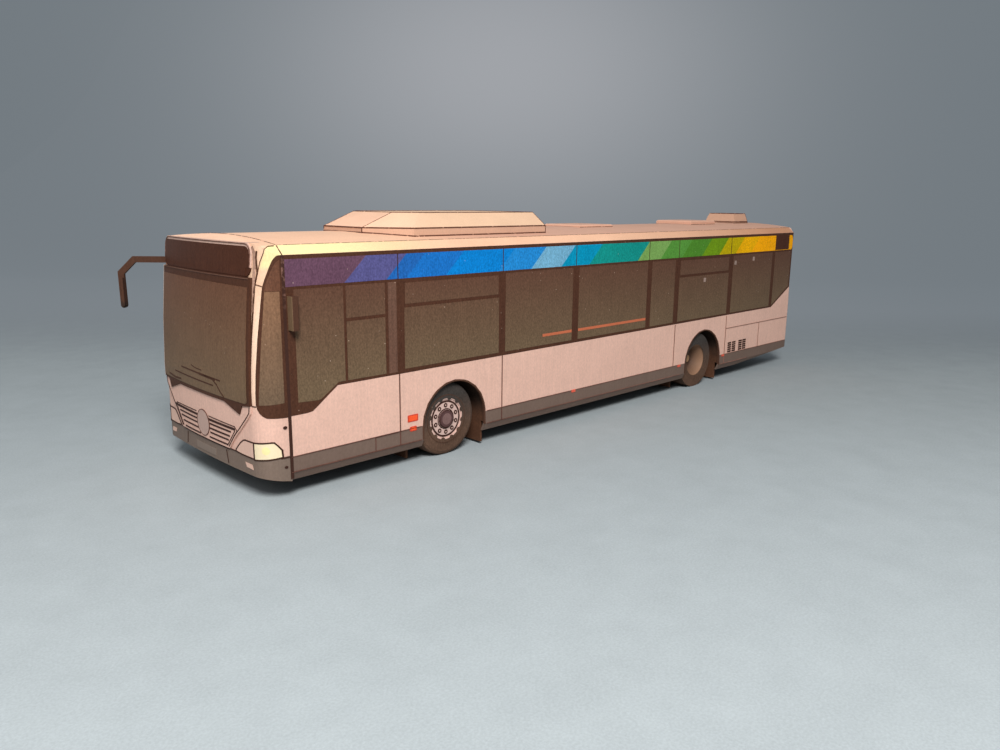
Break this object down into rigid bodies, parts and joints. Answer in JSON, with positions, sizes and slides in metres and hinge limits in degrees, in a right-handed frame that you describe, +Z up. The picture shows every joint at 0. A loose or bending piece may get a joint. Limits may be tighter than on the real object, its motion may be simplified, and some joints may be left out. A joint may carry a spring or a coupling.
{
  "type": "card model city bus",
  "caption": "Folded and glued card model of a low-floor city bus with printed windows, a slanted colour stripe, roof housings and wheels that turn.",
  "frame": {"origin": "centre of the flat floor panel between the axles, on its underside", "axes": "+X forward, towards the windscreen; +Y to the driver's side, left when facing forward; +Z up"},
  "size_m": [0.1403, 0.034, 0.0352],
  "materials": {
    "front_print": "satin",
    "windscreen_print": "satin",
    "grille_print": "satin",
    "destination_print": "satin",
    "side_print": "satin",
    "roof_print": "satin",
    "rear_print": "satin",
    "underside_card": "matte",
    "axle_box_card": "matte",
    "wheel_arch_card": "matte",
    "roof_pod_card": "matte",
    "roof_hatch_card": "matte",
    "left_mirror_card": "matte",
    "right_mirror_card": "matte",
    "axle_rod": "matte",
    "tyre_card": "matte",
    "rim_print": "satin",
    "hub_cap_print": "satin"
  },
  "bodies": {
    "bus_body": {"front_mask": "front_print", "windscreen": "windscreen_print", "grille_panel": "grille_print", "destination_panel": "destination_print", "left_side": "side_print", "right_side": "side_print", "roof": "roof_print", "rear_cap": "rear_print", "floor_front": "underside_card", "floor_mid": "underside_card", "floor_rear": "underside_card", "front_axle_box": "axle_box_card", "rear_axle_box": "axle_box_card", "front_left_wheel_arch": "wheel_arch_card", "front_right_wheel_arch": "wheel_arch_card", "rear_left_wheel_arch": "wheel_arch_card", "rear_right_wheel_arch": "wheel_arch_card", "front_roof_pod": "roof_pod_card", "rear_roof_pod": "roof_pod_card", "front_roof_hatch": "roof_hatch_card", "rear_roof_hatch": "roof_hatch_card", "left_mirror": "left_mirror_card", "right_mirror": "right_mirror_card"},
    "front_wheelset": {"front_axle": "axle_rod", "front_left_tyre": "tyre_card", "front_right_tyre": "tyre_card", "front_left_rim": "rim_print", "front_right_rim": "rim_print", "front_left_hub_cap": "hub_cap_print", "front_right_hub_cap": "hub_cap_print"},
    "rear_wheelset": {"rear_axle": "axle_rod", "rear_left_twin_tyre": "tyre_card", "rear_right_twin_tyre": "tyre_card", "rear_left_rim": "rim_print", "rear_right_rim": "rim_print"}
  },
  "joints": [
    {"name": "front_axle_roll", "type": "hinge", "parent": "bus_body", "child": "front_wheelset", "pos_m": [0.0342, 0, 0.00315], "axis": [0, 1, 0], "continuous": true},
    {"name": "rear_axle_roll", "type": "hinge", "parent": "bus_body", "child": "rear_wheelset", "pos_m": [-0.033, 0, 0.00315], "axis": [0, 1, 0], "continuous": true}
  ]
}
